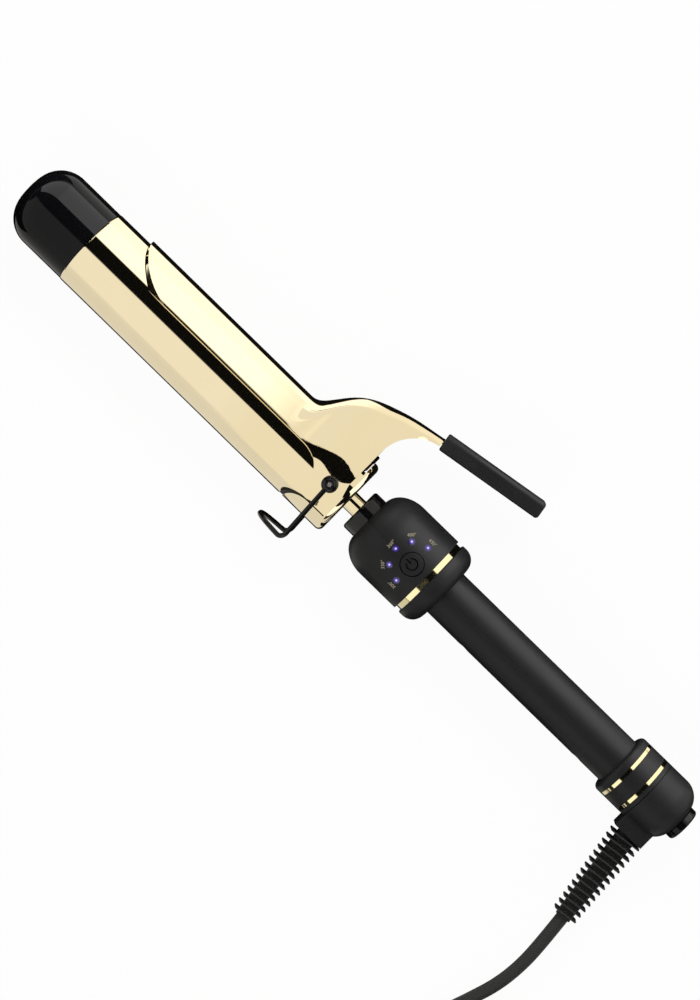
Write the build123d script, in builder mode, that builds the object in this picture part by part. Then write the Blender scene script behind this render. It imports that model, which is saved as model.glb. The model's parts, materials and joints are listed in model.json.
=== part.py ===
"""Curling iron with a spring clip, a wire stand and a swivel cord, lying on its side.

The iron lies along X with its tip towards -X. The clip and its lever are on the +Y
side, the stand on the -Y side, and both hinges stand upright, along Z. Stations
along the iron are counted from the mouth of the barrel, heights from its axis.
All sizes are in millimetres.
"""

import os
from math import atan2, cos, pi, radians, sin, sqrt, tan

from build123d import *

os.makedirs("parts", exist_ok=True)

# ---- driving sizes -------------------------------------------------------------

seat = 0.05  # clearance between pieces that are fitted together
play = 0.3  # clearance between pieces that move past each other

# barrel
barrel_r = 19.05
barrel_wall = 1.0
barrel_len = 153.6
mouth_len = 3.2
mouth_round = 2.6
tube_round = 0.7  # of the barrel's outer edge at the cap
spigot_len = 4.2
spigot_wall = 3.5
cap_len = 36.7
cap_inset = 0.2
cap_corner = 14.0
cap_wall = 3.0
cap_bulge = 0.6

# notch at the top of the mouth with the stop screw, cover in the underside
notch_len = 4.8
notch_floor = 12.4
screw_pad = 3.0
stop_head_r = 2.2
stop_head_len = 3.9
stop_thread_r = 1.9
stop_thread_len = 3.4
stop_cone_len = 2.4
stop_round = 0.4
cover_front = 24.5
cover_top = 11.7
cover_corner = 12.0
cover_gap = 0.6
cover_front_gap = 2.1

# heater inside the barrel
heater_clear = 7.8  # between the cap's spigot and the heater
heater_width = 14.0
heater_thick = 4.0
heater_back = 24.0
spreader_wall = 1.5
spreader_web = 2.0
spreader_over = 2.0
sensor_r = 1.2
sensor_len = 9.0
lead_r = 0.9
lead_spread = 2.1

# hinge of the clip and the stand
pivot_x = 10.8
hinge_bar_r = 3.2
hinge_block_side = 10.0
hinge_block_round = 1.0
hinge_block_len = 14.0
screw_r = 1.42
screw_depth = 7.0
screw_head_r = 2.6
screw_head_len = 1.05
screw_head_round = 0.63

# clip
clip_gap = 0.7
sheet = 1.0
spoon_len = 127.8  # from the hinge to the tip of the spoon
spoon_end = 31.0  # length of its narrowing end
spoon_blunt = 16.5
spoon_ease = 22.5
spoon_inset = 0.6  # of the spoon's edge at its narrowing end
edge_height = 5.4
wing_front = 44.0  # where the arch starts to rise, behind the mouth towards the tip
ear_r = 8.6
ear_front = 31.0
ear_back = 3.0
ear_lean = 2.5
wing_back = 4.7
wing_straight = 24.8
wing_lean = 22.0
lever_start = 11.3
arch_over = 1.1  # of the arch above the middle of the sleeve, where they meet
arch_under = 2.8
lever_slope = 8.95
tang_width = 8.0
tang_thick = 2.0
tang_short = 7.5  # of the tang against its sleeve
tang_drop = 0.4
sleeve_len = 51.5
sleeve_width = 20.0
sleeve_thick = 8.1
sleeve_rise = 46.5
sleeve_round = 2.4
sleeve_end_round = 1.6

# torsion springs that close the clip
spring_pin_r = 0.9
spring_pin_arm = 5.6
spring_pin_angle = 115.0
clip_travel = 23.0
coil_wire_r = 0.45
coil_turns = 3.0

# stand
wire_r = 1.1
eye_r = 2.6
stand_drop = 31.0
stand_reach = 13.2
stand_cross = 12.0
stand_splay = 1.3
stand_bend = 3.2
stand_bow = 19.0

# neck and nose
neck_r = 4.4
neck_wall = 1.1
neck_show = 5.5
nose_len = 6.25
nose_r = 10.2
nose_round = 1.3
neck_flange_r = 8.2
neck_flange_len = 2.0

# head and handle
head_len = 34.3
head_r = 19.8
head_nose_r = 9.8
head_curve = 13.5
shell_wall = 2.2
band_len = 2.5
band_r = 18.6
band_seat_r = 16.9
bead_len = 8.7
bead_r = 19.9
bead_round = 6.4
bead_edge = 0.4
handle_r = 11.35
handle_len = 104.2
handle_tail = 7.2
boss_r = 3.2
case_screw_r = 1.25
case_screw_head_r = 2.4
case_screw_head_len = 1.6
case_screw_len = 15.0
case_screw_sink = 1.0
case_screw_front = 22.0  # behind the bead ring
case_screw_back = 14.0  # before the rear collar

# controls in the head
button_r = 5.1
button_back = 8.0  # from the rear face of the head forward to the button's axis
button_lip = 0.5
button_lip_len = 1.1
button_depth = 4.7
button_travel = 0.8
button_sink = 0.25
button_round = 0.35
led_count = 5
led_ring_r = 9.7
led_r = 0.85
board_top = 9.6
board_thick = 1.6
board_len = 21.0
board_corner = 3.5
led_chip = 1.0
switch_side = 6.0
switch_height = 3.6
switch_plunger_r = 1.7

# rear collar and swivel
collar_r = 15.0
collar_len = 17.2
collar_round = 2.2
collar_web = 3.0
gold_band_len = 1.7
gold_band_depth = 0.7
gold_band_front = 4.05
gold_band_pitch = 9.4
dome_len = 19.5
dome_corner = 9.6
dome_web_front = 2.7
dome_web_len = 6.0
dome_cavity_r = 11.0
dome_cavity_step = 1.0
dome_cavity_slope = 2.0
spindle_r = 3.8
spindle_bore = 2.6
spindle_flange_r = 7.0
spindle_lip_r = 5.6
spindle_lip_len = 1.5
ring_len = 0.8
ring_radii = (5.4, 8.6)
ring_width = 1.6
end_disc_r = 8.0
end_disc_len = 3.3
end_disc_stem_r = 4.0
end_disc_round = 1.4
block_width = 15.4
block_depth = 15.2
block_drop = 19.9
block_round = 1.6

# strain relief, leaning slightly rearwards
relief_offset = 8.0  # from the front of the swivel dome
relief_lean = 6.3
relief_len = 45.5
relief_core = 9.2
relief_core_end = 7.0
fin_count = 14
fin_pitch = 3.2
fin_len = 0.6
fin_width = 14.9
fin_width_end = 11.2
fin_first = 1.6

# cord, coil and plug
cord_r = 3.0
coil_outer_turn = 48.6
coil_inner_turn = 23.1
coil_lift = 1.0
coil_layers = 2
coil_across = 32.9  # from the relief's end to the coil's centre, along the iron
coil_out = 103.9  # and away from it
tie_width = 14.0
tie_thick = 0.8
plug_len = 30.0
plug_width = 24.0
plug_thick = 14.0
plug_neck_len = 14.0
blade_len = 17.0
blade_width = 6.35
blade_thick = 1.5
blade_pitch = 12.7
blade_socket = 4.0
blade_point = 1.6
blade_hole_r = 1.5
plug_round = 1.0

# ---- stations worked out from the sizes -----------------------------------------

tube_back = -mouth_len
tube_front = tube_back - barrel_len
cap_front = tube_front - cap_len
nose_front = neck_show
head_front = nose_front + nose_len + seat
head_back = head_front + head_len
bead_front = head_back + band_len + 2 * seat
bead_back = bead_front + bead_len
collar_front = bead_back + handle_len
collar_back = collar_front + collar_len
dome_front = collar_back + play
dome_back = dome_front + dome_len
tail_end = dome_back + end_disc_len

clip_inner = barrel_r + clip_gap
clip_outer = clip_inner + sheet
eye_z = clip_outer + 2 * seat + wire_r
screw_head_in = eye_z + wire_r + 2 * seat
half_depth = screw_head_in + screw_head_len

slope = radians(lever_slope)
lever_top = sleeve_rise + sleeve_len * sin(slope) + sleeve_thick / 2 * cos(slope)
stand_low = -(stand_drop + wire_r)

x_origin = -(cap_front + tail_end) / 2
y_origin = -(stand_low + lever_top) / 2
axis_height = half_depth

relief_x = dome_front + relief_offset

# ---- planes and axes ------------------------------------------------------------

side = Plane(origin=(x_origin, y_origin, axis_height))
iron_axis = Axis(side.origin, (1, 0, 0))


def across(x):
    """Plane square to the iron at a station: its x is +Y and its y is +Z."""
    return Plane(side.origin + Vector(x, 0, 0), x_dir=(0, 1, 0), z_dir=(1, 0, 0))


def plan(y):
    """Plane parallel to the table's edge at a height on the clip side: x is +X."""
    return Plane(side.origin + Vector(0, y, 0), x_dir=(1, 0, 0), z_dir=(0, 1, 0))


def place(x, y, z):
    """A point given by station, side height and upright height above the axis."""
    return side.origin + Vector(x, y, z)


def finish(piece, name):
    """Label a finished sub-part and write it."""
    piece.part.label = name
    export_step(piece.part, f"parts/{name}.step")


# ---- barrel ---------------------------------------------------------------------

tube_inner = barrel_r - barrel_wall


def cover_outline(gap, front_gap):
    """Side outline of the cover in the barrel's underside, made smaller by gaps."""
    corner = cover_corner - front_gap
    rise = barrel_r - cover_top - gap
    with Locations((-cover_front + front_gap + corner, -barrel_r)):
        Ellipse(corner, rise)
    length = cover_front - front_gap - corner - mouth_len
    with Locations((-mouth_len - length / 2, -barrel_r)):
        Rectangle(length, 2 * rise)


with BuildPart() as barrel_tube:
    with BuildSketch(across(tube_front)):
        Circle(barrel_r)
        Circle(tube_inner, mode=Mode.SUBTRACT)
    extrude(amount=barrel_len)
    fillet(barrel_tube.faces().sort_by(Axis.X)[0].outer_wire().edges(), radius=tube_round)
    with BuildSketch(side):
        with Locations((tube_back - notch_len / 2, barrel_r)):
            Rectangle(notch_len, 2 * (barrel_r - notch_floor))
    extrude(amount=barrel_r, both=True, mode=Mode.SUBTRACT)
    with BuildSketch(side):
        cover_outline(0, 0)
    extrude(amount=barrel_r, both=True, mode=Mode.SUBTRACT)
    with BuildSketch(side):
        with Locations((-pivot_x, 0)):
            Circle(hinge_bar_r + seat)
        with Locations((-pivot_x, 0)):
            with PolarLocations(spring_pin_arm, 1, start_angle=spring_pin_angle):
                Circle(spring_pin_r + play)
            for turned in (clip_travel / 2, clip_travel):
                with PolarLocations(spring_pin_arm, 1, start_angle=spring_pin_angle - turned):
                    Circle(spring_pin_r + play)
    extrude(amount=barrel_r, both=True, mode=Mode.SUBTRACT)
finish(barrel_tube, "barrel_tube")

with BuildPart() as barrel_cover:
    with BuildSketch(across(-cover_front)):
        Circle(barrel_r)
        Circle(tube_inner, mode=Mode.SUBTRACT)
    extrude(amount=cover_front - mouth_len)
    with BuildSketch(side):
        cover_outline(cover_gap, cover_front_gap)
    extrude(amount=barrel_r, both=True, mode=Mode.INTERSECT)
finish(barrel_cover, "barrel_cover")

with BuildPart() as tip_cap:
    cap_r = barrel_r - cap_inset
    with BuildSketch(side):
        with BuildLine():
            nose = (cap_front, 0)
            rim = (cap_front + cap_bulge, cap_r - cap_corner)
            shoulder = (cap_front + cap_bulge + cap_corner, cap_r)
            ThreePointArc(nose, (cap_front + cap_bulge / 4, rim[1] / 2), rim)
            RadiusArc(rim, shoulder, cap_corner)
            Polyline(
                shoulder,
                (tube_front, cap_r),
                (tube_front, tube_inner - seat),
                (tube_front + spigot_len, tube_inner - seat),
                (tube_front + spigot_len, tube_inner - seat - cap_wall),
                (shoulder[0], tube_inner - seat - cap_wall),
                (cap_front + cap_bulge + cap_wall, rim[1]),
                (cap_front + cap_bulge + cap_wall, 0),
                nose,
            )
        make_face()
    revolve(axis=iron_axis)
finish(tip_cap, "tip_cap")

with BuildPart() as barrel_end:
    spigot_r = tube_inner - seat
    with BuildSketch(side):
        with BuildLine():
            mouth_face = (0, barrel_r - mouth_round)
            mouth_side = (-mouth_round, barrel_r)
            RadiusArc(mouth_side, mouth_face, mouth_round)
            Polyline(
                mouth_side,
                (-mouth_len, barrel_r),
                (-mouth_len, spigot_r),
                (-mouth_len - spigot_len, spigot_r),
                (-mouth_len - spigot_len, spigot_r - spigot_wall),
                (-mouth_len, spigot_r - spigot_wall),
                (-mouth_len, neck_r + spigot_wall),
                (-mouth_len - spigot_len / 2, neck_r + spigot_wall),
                (-mouth_len - spigot_len / 2, neck_r + seat),
                (0, neck_r + seat),
                mouth_face,
            )
        make_face()
    revolve(axis=iron_axis)
    with BuildSketch(across(-mouth_len)):
        with Locations((notch_floor - screw_pad / 2, 0)):
            Rectangle(screw_pad, 2 * stop_head_r + screw_pad)
    extrude(amount=-notch_len)
    with BuildSketch(side):
        with Locations((-mouth_len - notch_len / 2, barrel_r)):
            Rectangle(notch_len, 2 * (barrel_r - notch_floor))
    extrude(amount=barrel_r, both=True, mode=Mode.SUBTRACT)
finish(barrel_end, "barrel_end")

with BuildPart() as stop_screw:
    with BuildSketch(side):
        with BuildLine():
            stop_x = -mouth_len - stop_head_r
            stop_side = stop_x + stop_head_r - 2 * seat
            thread_foot = notch_floor + stop_cone_len
            head_foot = thread_foot + stop_thread_len
            head_top = head_foot + stop_head_len
            Polyline(
                (stop_x, notch_floor),
                (stop_x + stop_thread_r / 2, notch_floor),
                (stop_x + stop_thread_r, thread_foot),
                (stop_x + stop_thread_r, head_foot),
                (stop_side, head_foot),
                (stop_side, head_top - stop_round),
                (stop_side - stop_round, head_top),
                (stop_x, head_top),
                close=True,
            )
        make_face()
    revolve(axis=Axis(place(stop_x, 0, 0), (0, 1, 0)))
finish(stop_screw, "stop_screw")

# ---- heater ---------------------------------------------------------------------

heater_front = tube_front + spigot_len + heater_clear
heater_len = -heater_back - heater_front

with BuildPart() as heater_plate:
    with BuildSketch(across(heater_front)):
        Rectangle(heater_thick, heater_width)
    extrude(amount=heater_len)
    fillet(heater_plate.edges().filter_by(Axis.X), radius=heater_thick * 0.15)
finish(heater_plate, "heater_plate")

pad_inner = heater_thick / 2 + seat
pad_outer = pad_inner + spreader_web
spreader_r = tube_inner - 3 * seat
for name, way in (("clip_side", 1), ("stand_side", -1)):
    with BuildPart() as spreader:
        with BuildSketch(across(heater_front - spreader_over)):
            Circle(spreader_r)
            Circle(spreader_r - spreader_wall, mode=Mode.SUBTRACT)
            with Locations((-way * (barrel_r - play / 2), 0)):
                Rectangle(2 * barrel_r, 2 * barrel_r, mode=Mode.SUBTRACT)
            with Locations((way * (pad_inner + spreader_r - spreader_wall / 2) / 2, 0)):
                Rectangle(spreader_r - spreader_wall / 2 - pad_inner, spreader_web)
            with Locations((way * (pad_inner + pad_outer) / 2, 0)):
                Rectangle(spreader_web, heater_width)
        extrude(amount=heater_len + 2 * spreader_over)
    finish(spreader, f"spreader_{name}")

with BuildPart() as temperature_sensor:
    with BuildSketch(across(-heater_back - heater_len / 3)):
        with Locations((pad_outer + seat + sensor_r, heater_width / 4)):
            Circle(sensor_r)
    extrude(amount=-sensor_len)
    fillet(temperature_sensor.edges().sort_by(Axis.X)[0], radius=sensor_r / 2)
finish(temperature_sensor, "temperature_sensor")

with BuildPart() as heater_leads:
    with BuildSketch(across(-heater_back + spreader_over + play)):
        with Locations((0, lead_spread), (0, -lead_spread)):
            Circle(lead_r)
    extrude(amount=heater_back - spreader_over - play + head_front + neck_flange_len)
finish(heater_leads, "heater_leads")

# ---- hinge ----------------------------------------------------------------------

hinge_bar_half = clip_inner - 2 * play

with BuildPart() as hinge_block:
    with BuildSketch(side):
        with Locations((-pivot_x, 0)):
            Circle(hinge_bar_r)
    extrude(amount=hinge_bar_half, both=True)
    with BuildSketch(side):
        with Locations((-pivot_x, 0)):
            Rectangle(hinge_block_side, hinge_block_side)
    extrude(amount=hinge_block_len / 2, both=True)
    fillet(hinge_block.edges().filter_by(Axis.Z), radius=hinge_block_round)
    with BuildSketch(across(-pivot_x)):
        Circle(lead_spread + lead_r + play)
    extrude(amount=hinge_block_side, both=True, mode=Mode.SUBTRACT)
    for way in (1, -1):
        with BuildSketch(side.offset(way * hinge_bar_half)):
            with Locations((-pivot_x, 0)):
                Circle(screw_r + seat)
        extrude(amount=-way * screw_depth, mode=Mode.SUBTRACT)
finish(hinge_block, "hinge_block")

with BuildPart() as pivot_screws:
    for way in (1, -1):
        with BuildSketch(side.offset(way * (hinge_bar_half - screw_depth + play))):
            with Locations((-pivot_x, 0)):
                Circle(screw_r)
        extrude(amount=way * (screw_head_in - hinge_bar_half + screw_depth - play))
        with BuildSketch(side.offset(way * screw_head_in)):
            with Locations((-pivot_x, 0)):
                Circle(screw_head_r)
        extrude(amount=way * screw_head_len)
    for end in (pivot_screws.faces().sort_by(Axis.Z)[0], pivot_screws.faces().sort_by(Axis.Z)[-1]):
        fillet(end.edges(), radius=screw_head_round)
finish(pivot_screws, "pivot_screws")

coil_r = hinge_bar_r + play + coil_wire_r
coil_pitch = 2 * coil_wire_r + play
coil_length = coil_turns * coil_pitch
with BuildPart() as clip_springs:
    for way in (1, -1):
        start = hinge_block_len / 2 + play + coil_wire_r
        base = place(-pivot_x, 0, way * start)
        with BuildLine() as wire:
            Helix(coil_pitch, coil_length, coil_r, center=base, direction=(0, 0, way))
        with BuildSketch(Plane(origin=wire.line @ 0, z_dir=wire.line % 0)):
            Circle(coil_wire_r)
        sweep(path=wire.line)
finish(clip_springs, "clip_springs")

# ---- clip -----------------------------------------------------------------------

tang_len = sleeve_len - tang_short
lever_under = sleeve_rise - arch_under
arch_run = wing_front + lever_start
arch_rise = sleeve_rise + arch_over - clip_outer
# the arch's sections: shares of its run and of its rise, then shares of the clip's
# radius for the bend between ear and wing and for the height of the bend's centre
arch_shares = (
    (0, 0, 0.964, 0),
    (0.045, 0.008, 0.964, 0),
    (0.1, 0.068, 0.964, 0),
    (0.163, 0.214, 0.964, 0),
    (0.262, 0.46, 0.82, 0.07),
    (0.434, 0.702, 0.867, 0.25),
    (0.561, 0.799, 1.253, 0.2),
    (0.687, 0.877, 0.675, 0.28),
    (0.832, 0.939, 0.675, 0.28),
    (1, 1, 0.675, 0.28),
)
arch = [
    (-wing_front + run * arch_run, clip_outer + rise * arch_rise, bend * clip_outer, middle * clip_outer)
    for run, rise, bend, middle in arch_shares
]
spoon_tip = -pivot_x - spoon_len


def crown_slope(number):
    """Slope of the arch's crown at a section, from its neighbours; the spoon is level."""
    if number == 0:
        return 0
    before = arch[number - 1]
    after = arch[min(number + 1, len(arch) - 1)]
    return atan2(after[1] - before[1], after[0] - before[0])


def arch_section(number, inset):
    """A section of the clip, made smaller by an inset: crown, wings, bends and ears."""
    station, height, bend, middle = arch[number]
    top = height - inset / cos(crown_slope(number))
    centre = Vector(middle, clip_outer - bend)
    radius = bend - inset
    ear, wing = radians(ear_lean), radians(wing_lean)
    ear_high = centre + Vector(-sin(ear), cos(ear)) * radius
    ear_low = ear_high - Vector(1, tan(ear)) * (ear_high.X + ear_r + play + inset)
    bend_middle = centre + Vector(sin((wing - ear) / 2), cos((wing - ear) / 2)) * radius
    wing_low = centre + Vector(sin(wing), cos(wing)) * radius
    crown_r = (wing_low.Y * cos(wing) - (top - wing_low.X) * sin(wing)) / (1 - sin(wing))
    wing_high = Vector(top - crown_r + crown_r * sin(wing), crown_r * cos(wing))
    with BuildSketch(across(station)) as section:
        with BuildLine():
            for way in (1, -1):
                low, high, mid, start, end = [
                    (point.X, way * point.Y)
                    for point in (ear_low, ear_high, bend_middle, wing_low, wing_high)
                ]
                Line(low, high)
                ThreePointArc(high, mid, start)
                Line(start, end)
            ThreePointArc((wing_high.X, wing_high.Y), (top, 0), (wing_high.X, -wing_high.Y))
            Line((ear_low.X, ear_low.Y), (ear_low.X, -ear_low.Y))
        make_face()
    return section.sketch


with BuildPart() as arch_core:
    loft([arch_section(number, sheet) for number in range(len(arch))])
    extrude(arch_section(0, sheet), amount=spoon_len, dir=(-1, 0, 0))

with BuildPart() as clip:
    loft([arch_section(number, 0) for number in range(len(arch))])
    extrude(arch_section(0, 0), amount=-wing_front - spoon_tip, dir=(-1, 0, 0))
    add(arch_core, mode=Mode.SUBTRACT)
    with BuildSketch(side):
        with BuildLine():
            tip_low = (spoon_tip - sheet, edge_height)
            clip_top = 2 * sleeve_rise
            ear_top = (-ear_front, edge_height)
            ear_side = (-pivot_x - ear_r * cos(radians(22)), -ear_r * sin(radians(22)))
            ear_foot = (-pivot_x, -ear_r)
            back_low = (-ear_back, -sqrt(ear_r**2 - (pivot_x - ear_back) ** 2))
            back_edge = (-ear_back, -ear_r / 10)
            back_high = (-wing_back, wing_straight)
            lever_low = (lever_start, lever_under)
            Line(tip_low, ear_top)
            TangentArc(ear_top, ear_side, tangent=(1, 0))
            ThreePointArc(ear_side, ear_foot, back_low)
            Polyline(back_low, back_edge, (-wing_back, edge_height), back_high)
            TangentArc(back_high, lever_low, tangent=(0, 1))
            Polyline(lever_low, (lever_start, clip_top), (spoon_tip - sheet, clip_top), tip_low)
        make_face()
    extrude(amount=2 * clip_outer, both=True, mode=Mode.INTERSECT)
    with BuildSketch(plan(0)):
        with BuildLine():
            spoon_half = clip_outer - spoon_inset
            for way in (1, -1):
                widest = (spoon_tip + spoon_end, way * spoon_half)
                Bezier(
                    (spoon_tip, 0),
                    (spoon_tip, way * spoon_blunt),
                    (widest[0] - spoon_ease, widest[1]),
                    widest,
                )
            Polyline(
                (spoon_tip + spoon_end, spoon_half),
                (spoon_tip + spoon_end, 2 * clip_outer),
                (2 * lever_start, 2 * clip_outer),
                (2 * lever_start, -2 * clip_outer),
                (spoon_tip + spoon_end, -2 * clip_outer),
                (spoon_tip + spoon_end, -spoon_half),
            )
        make_face()
    extrude(amount=clip_top, both=True, mode=Mode.INTERSECT)
    with BuildSketch(side):
        with Locations((-pivot_x, 0)):
            Circle(screw_r + seat)
    extrude(amount=2 * clip_outer, both=True, mode=Mode.SUBTRACT)
    with BuildSketch(side):
        with Locations((-pivot_x, 0)):
            with PolarLocations(spring_pin_arm, 1, start_angle=spring_pin_angle):
                Circle(spring_pin_r + seat)
    extrude(amount=clip_inner + sheet / 2, both=True, mode=Mode.SUBTRACT)
    tang_start = place(lever_start, sleeve_rise - tang_drop, 0)
    tang_line = Plane(tang_start, x_dir=(cos(slope), sin(slope), 0))
    with BuildSketch(tang_line):
        with Locations(((tang_len - sheet / 2) / 2, 0)):
            Rectangle(tang_len + sheet / 2, tang_thick)
    extrude(amount=tang_width / 2, both=True)
finish(clip, "clip")

with BuildPart() as lever_sleeve:
    mouth = place(lever_start + seat + arch_over * tan(slope), sleeve_rise, 0)
    with BuildSketch(Plane(mouth, x_dir=(0, 0, 1), z_dir=(cos(slope), sin(slope), 0))):
        Rectangle(sleeve_width, sleeve_thick)
    extrude(amount=sleeve_len)
    sleeve_edges = lever_sleeve.edges().filter_by(lambda e: e.length > sleeve_len * 0.9)
    fillet(sleeve_edges.sort_by(Axis.Y)[-2:], radius=sleeve_round)
    fillet(sleeve_edges.sort_by(Axis.Y)[:2], radius=sleeve_end_round)
    fillet(lever_sleeve.faces().sort_by(Axis.X)[-1].edges(), radius=sleeve_end_round)
    fillet(lever_sleeve.faces().sort_by(Axis.X)[0].edges(), radius=sleeve_end_round / 2)
    with BuildSketch(tang_line):
        with Locations((tang_len / 2, 0)):
            Rectangle(tang_len + 2 * play, tang_thick + 2 * seat)
    extrude(amount=tang_width / 2 + seat, both=True, mode=Mode.SUBTRACT)
finish(lever_sleeve, "lever_sleeve")

with BuildPart() as spring_pins:
    with BuildSketch(side):
        with Locations((-pivot_x, 0)):
            with PolarLocations(spring_pin_arm, 1, start_angle=spring_pin_angle):
                Circle(spring_pin_r)
    extrude(amount=clip_inner + sheet / 2 - seat, both=True)
    with BuildSketch(side):
        Rectangle(4 * pivot_x, 4 * pivot_x)
    extrude(amount=hinge_block_len / 2 + play, both=True, mode=Mode.SUBTRACT)
finish(spring_pins, "spring_pins")

# ---- stand ----------------------------------------------------------------------

with BuildPart() as stand_wire:
    eye_low = eye_r * 0.9
    with BuildLine() as stand_path:
        FilletPolyline(
            place(-pivot_x, -eye_low, eye_z),
            place(-pivot_x + stand_splay, -stand_drop, eye_z),
            place(-pivot_x - stand_reach, -stand_drop, stand_cross),
            place(-pivot_x - stand_reach, -stand_drop, -stand_cross),
            place(-pivot_x + stand_splay, -stand_drop, -eye_z),
            place(-pivot_x, -eye_low, -eye_z),
            radius=(stand_bend, stand_bow, stand_bow, stand_bend),
        )
    with BuildSketch(Plane(origin=stand_path.line @ 0, z_dir=stand_path.line % 0)):
        Circle(wire_r)
    sweep(path=stand_path.line)
    for way in (1, -1):
        with BuildSketch(Plane(place(-pivot_x, 0, way * eye_z), x_dir=(1, 0, 0), z_dir=(0, 1, 0))):
            with Locations((eye_r, 0)):
                Circle(wire_r)
        revolve(axis=Axis(place(-pivot_x, 0, way * eye_z), (0, 0, 1)))
finish(stand_wire, "stand_wire")

# ---- neck and nose --------------------------------------------------------------

flange_back = head_front + shell_wall + seat + neck_flange_len

with BuildPart() as neck_tube:
    with BuildSketch(side):
        with BuildLine():
            neck_front = -mouth_len - spigot_len / 2
            neck_inner = neck_r - neck_wall
            Polyline(
                (neck_front, neck_inner),
                (neck_front, neck_r),
                (flange_back - neck_flange_len, neck_r),
                (flange_back - neck_flange_len, neck_flange_r),
                (flange_back, neck_flange_r),
                (flange_back, neck_inner),
                close=True,
            )
        make_face()
    revolve(axis=iron_axis)
finish(neck_tube, "neck_tube")

with BuildPart() as nose_ring:
    with BuildSketch(across(nose_front)):
        Circle(nose_r)
        Circle(neck_r + seat, mode=Mode.SUBTRACT)
    extrude(amount=nose_len)
    fillet(nose_ring.faces().sort_by(Axis.X)[0].outer_wire().edges(), radius=nose_round)
finish(nose_ring, "nose_ring")

# ---- housing --------------------------------------------------------------------

button_x = head_back - button_back
inner_r = head_r - shell_wall
seat_inner = band_seat_r - shell_wall
step_x = bead_back - shell_wall - seat
tail_x = collar_front + handle_tail
case_screws = (bead_back + case_screw_front, collar_front - case_screw_back)
light_places = [
    (button_x - led_ring_r * cos(pi * (n / (led_count - 1) - 0.5)),
     led_ring_r * sin(pi * (n / (led_count - 1) - 0.5)))
    for n in range(led_count)
]

with BuildPart() as housing:
    with BuildSketch(side):
        with BuildLine():
            outer_start = (head_front, head_nose_r)
            outer_end = (head_front + head_curve, head_r)
            inner_start = (head_front + shell_wall, head_nose_r)
            inner_end = (head_front + head_curve, inner_r)
            rise = head_r - head_nose_r
            EllipticalCenterArc(
                (head_front + head_curve, head_nose_r), head_curve, rise, 90, arc_size=90
            )
            Polyline(
                outer_end,
                (head_back, head_r),
                (head_back, band_seat_r),
                (step_x, band_seat_r),
                (step_x, handle_r),
                (tail_x, handle_r),
                (tail_x, handle_r - shell_wall),
                (step_x - shell_wall, handle_r - shell_wall),
                (step_x - shell_wall, seat_inner),
                (head_back - shell_wall, seat_inner),
                (head_back - shell_wall, inner_r),
                inner_end,
            )
            EllipticalCenterArc(
                (head_front + head_curve, head_nose_r),
                head_curve - shell_wall,
                rise - shell_wall,
                90,
                arc_size=90,
            )
            Polyline(
                inner_start,
                (head_front + shell_wall, neck_r + seat),
                (head_front, neck_r + seat),
                outer_start,
            )
        make_face()
    revolve(axis=iron_axis)
    with BuildSketch(plan(-handle_r + shell_wall / 2)):
        with Locations(*[(x, 0) for x in case_screws]):
            Circle(boss_r)
    extrude(amount=2 * handle_r - shell_wall)
    with BuildSketch(side.offset(inner_r - 2 * shell_wall)):
        with Locations((button_x, 0)):
            Circle(button_r + play)
    extrude(amount=head_r, mode=Mode.SUBTRACT)
    with BuildSketch(side.offset(board_top)):
        with Locations(*light_places):
            Circle(led_r + seat)
    extrude(amount=head_r, mode=Mode.SUBTRACT)
    with BuildSketch(plan(-handle_r + case_screw_head_len)):
        with Locations(*[(x, 0) for x in case_screws]):
            Circle(case_screw_r + seat)
    extrude(amount=case_screw_len, mode=Mode.SUBTRACT)
    with BuildSketch(plan(-handle_r + case_screw_head_len + case_screw_sink)):
        with Locations(*[(x, 0) for x in case_screws]):
            Circle(case_screw_head_r + play)
    extrude(amount=-handle_r, mode=Mode.SUBTRACT)

for name, keep in (("clip_side", Keep.TOP), ("stand_side", Keep.BOTTOM)):
    with BuildPart() as half:
        add(housing.part)
        split(bisect_by=plan(0), keep=keep)
    finish(half, f"housing_{name}")

with BuildPart() as housing_screws:
    head_seat = -handle_r + case_screw_head_len + case_screw_sink
    with BuildSketch(plan(head_seat)):
        with Locations(*[(x, 0) for x in case_screws]):
            Circle(case_screw_r)
    extrude(amount=case_screw_len - case_screw_head_len)
    with BuildSketch(plan(head_seat)):
        with Locations(*[(x, 0) for x in case_screws]):
            Circle(case_screw_head_r)
    extrude(amount=-case_screw_head_len)
finish(housing_screws, "housing_screws")

with BuildPart() as head_band:
    with BuildSketch(across(head_back + seat)):
        Circle(band_r)
        Circle(band_seat_r + seat, mode=Mode.SUBTRACT)
    extrude(amount=band_len)
finish(head_band, "head_band")

with BuildPart() as bead_ring:
    with BuildSketch(side):
        with BuildLine():
            bead_side = (bead_back - bead_round, bead_r)
            bead_foot = (bead_back, bead_r - bead_round)
            RadiusArc(bead_side, bead_foot, bead_round)
            Polyline(
                bead_foot,
                (bead_back, handle_r + seat),
                (step_x + seat, handle_r + seat),
                (step_x + seat, band_seat_r + seat),
                (bead_front, band_seat_r + seat),
                (bead_front, bead_r - bead_edge),
                (bead_front + bead_edge, bead_r),
                bead_side,
            )
        make_face()
    revolve(axis=iron_axis)
finish(bead_ring, "bead_ring")

# ---- controls -------------------------------------------------------------------

button_face = head_r - button_sink

with BuildPart() as power_button:
    with BuildSketch(side.offset(button_face - button_depth)):
        with Locations((button_x, 0)):
            Circle(button_r)
    extrude(amount=button_depth + button_lip)
    with BuildSketch(across(button_x - 2 * button_r)):
        Circle(button_face)
    extrude(amount=4 * button_r, mode=Mode.INTERSECT)
    fillet(power_button.edges().sort_by(Axis.Z)[-1], radius=button_round)
    with BuildSketch(side.offset(button_face - button_depth - button_lip_len / 2)):
        with Locations((button_x, 0)):
            Circle(button_r + button_lip)
    extrude(amount=button_lip_len)
finish(power_button, "power_button")

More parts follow.
